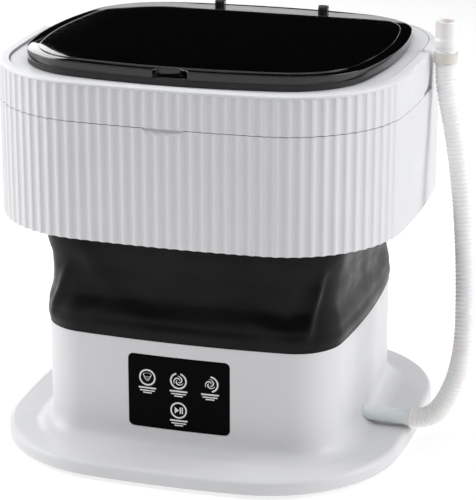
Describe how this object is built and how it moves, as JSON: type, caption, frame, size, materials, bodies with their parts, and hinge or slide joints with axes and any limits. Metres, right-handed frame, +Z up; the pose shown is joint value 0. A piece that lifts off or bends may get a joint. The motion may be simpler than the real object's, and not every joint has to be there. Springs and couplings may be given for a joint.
{
  "type": "portable mini washer",
  "caption": "Collapsible mini washer: flared white base with touch keys, black folding bucket, ribbed ring with carry handle, hinged glossy lid and a corrugated drain hose.",
  "frame": {"origin": "on the floor under the middle of the base", "axes": "+Z up, the front with the keys faces -Y, +X to the right where the drain hose leaves"},
  "size_m": [0.3797, 0.332, 0.342],
  "materials": {
    "white_housing": "satin moulded",
    "white_inner": "satin moulded",
    "white_soft": "soft translucent",
    "beige_clip": "satin",
    "black_gloss": "high gloss",
    "black_matt": "matt",
    "bucket_film": "semi-gloss film",
    "black_rubber": "matt",
    "green_board": "lacquered",
    "steel": "brushed",
    "magnet": "matt",
    "gear_nylon": "satin"
  },
  "bodies": {
    "base": {"base_bottom_cover": "white_inner", "base_shell": "white_housing", "bearing_housing": "white_inner", "bottom_screws": "steel", "bucket": "bucket_film", "control_board": "green_board", "control_fascia": "black_gloss", "drain_elbow": "white_inner", "drain_hose": "white_soft", "drain_nozzle": "white_soft", "drive_plate": "steel", "hose_clip": "beige_clip", "hose_cuff": "white_soft", "lower_bearing": "steel", "lower_clamp_ring": "white_inner", "motor_can": "steel", "motor_end_cap": "black_matt", "motor_magnets": "magnet", "motor_screws": "steel", "nozzle_collar": "white_soft", "power_inlet": "black_matt", "rubber_foot_front_left": "black_rubber", "rubber_foot_front_right": "black_rubber", "rubber_foot_rear_left": "black_rubber", "rubber_foot_rear_right": "black_rubber", "shaft_seal": "black_rubber", "tact_switches": "black_matt", "tub_floor": "white_inner", "upper_bearing": "steel"},
    "ring": {"ring_shell": "white_housing", "handle_pivot_right": "steel", "handle_pivot_left": "steel", "ring_top_plate": "white_housing", "upper_clamp_ring": "white_inner", "ring_screws": "steel", "hinge_fork_right": "black_matt", "hinge_fork_left": "black_matt", "hinge_pin_right": "steel", "hinge_pin_left": "steel"},
    "handle": {"carry_handle": "white_housing"},
    "lid": {"lid_panel": "black_gloss", "lid_frame": "black_matt", "lid_gasket": "black_rubber", "lid_knuckle_right": "black_matt", "lid_knuckle_left": "black_matt"},
    "agitator": {"output_shaft": "steel", "driven_gear": "gear_nylon", "pulsator": "white_inner", "pulsator_screw": "steel", "spin_basket": "white_inner", "basket_knob": "white_inner"},
    "rotor": {"motor_rotor": "steel", "motor_shaft": "steel", "drive_pinion": "gear_nylon"},
    "key_spin": {"key_spin": "black_gloss"},
    "key_long_wash": {"key_long_wash": "black_gloss"},
    "key_short_wash": {"key_short_wash": "black_gloss"},
    "key_start_pause": {"key_start_pause": "black_gloss"}
  },
  "joints": [
    {"name": "ring_collapse", "type": "slide", "parent": "base", "child": "ring", "axis": [0, 0, 1], "range_m": [-0.13, 0], "deforming": ["bucket"]},
    {"name": "handle_swing", "type": "hinge", "parent": "ring", "child": "handle", "pos_m": [0, 0.0114, 0.3031], "axis": [-1, 0, 0], "range_deg": [0, 90]},
    {"name": "lid_hinge", "type": "hinge", "parent": "ring", "child": "lid", "pos_m": [0, 0.1394, 0.321], "axis": [-1, 0, 0], "range_deg": [0, 100]},
    {"name": "agitator_spin", "type": "hinge", "parent": "base", "child": "agitator", "pos_m": [0, 0, 0.09], "axis": [0, 0, 1], "continuous": true},
    {"name": "rotor_spin", "type": "hinge", "parent": "base", "child": "rotor", "pos_m": [-0.05265, 0, 0.02], "axis": [0, 0, 1], "continuous": true},
    {"name": "key_spin_press", "type": "slide", "parent": "base", "child": "key_spin", "axis": [0, 1, 0], "range_m": [0, 0.0006], "stiffness_N_per_m": 1500, "springref_m": -0.0002},
    {"name": "key_long_wash_press", "type": "slide", "parent": "base", "child": "key_long_wash", "axis": [0, 1, 0], "range_m": [0, 0.0006], "stiffness_N_per_m": 1500, "springref_m": -0.0002},
    {"name": "key_short_wash_press", "type": "slide", "parent": "base", "child": "key_short_wash", "axis": [0, 1, 0], "range_m": [0, 0.0006], "stiffness_N_per_m": 1500, "springref_m": -0.0002},
    {"name": "key_start_pause_press", "type": "slide", "parent": "base", "child": "key_start_pause", "axis": [0, 1, 0], "range_m": [0, 0.0006], "stiffness_N_per_m": 1500, "springref_m": -0.0002}
  ],
  "couplings": [
    {"joint": "rotor_spin", "follows": "agitator_spin", "ratio": -4}
  ]
}
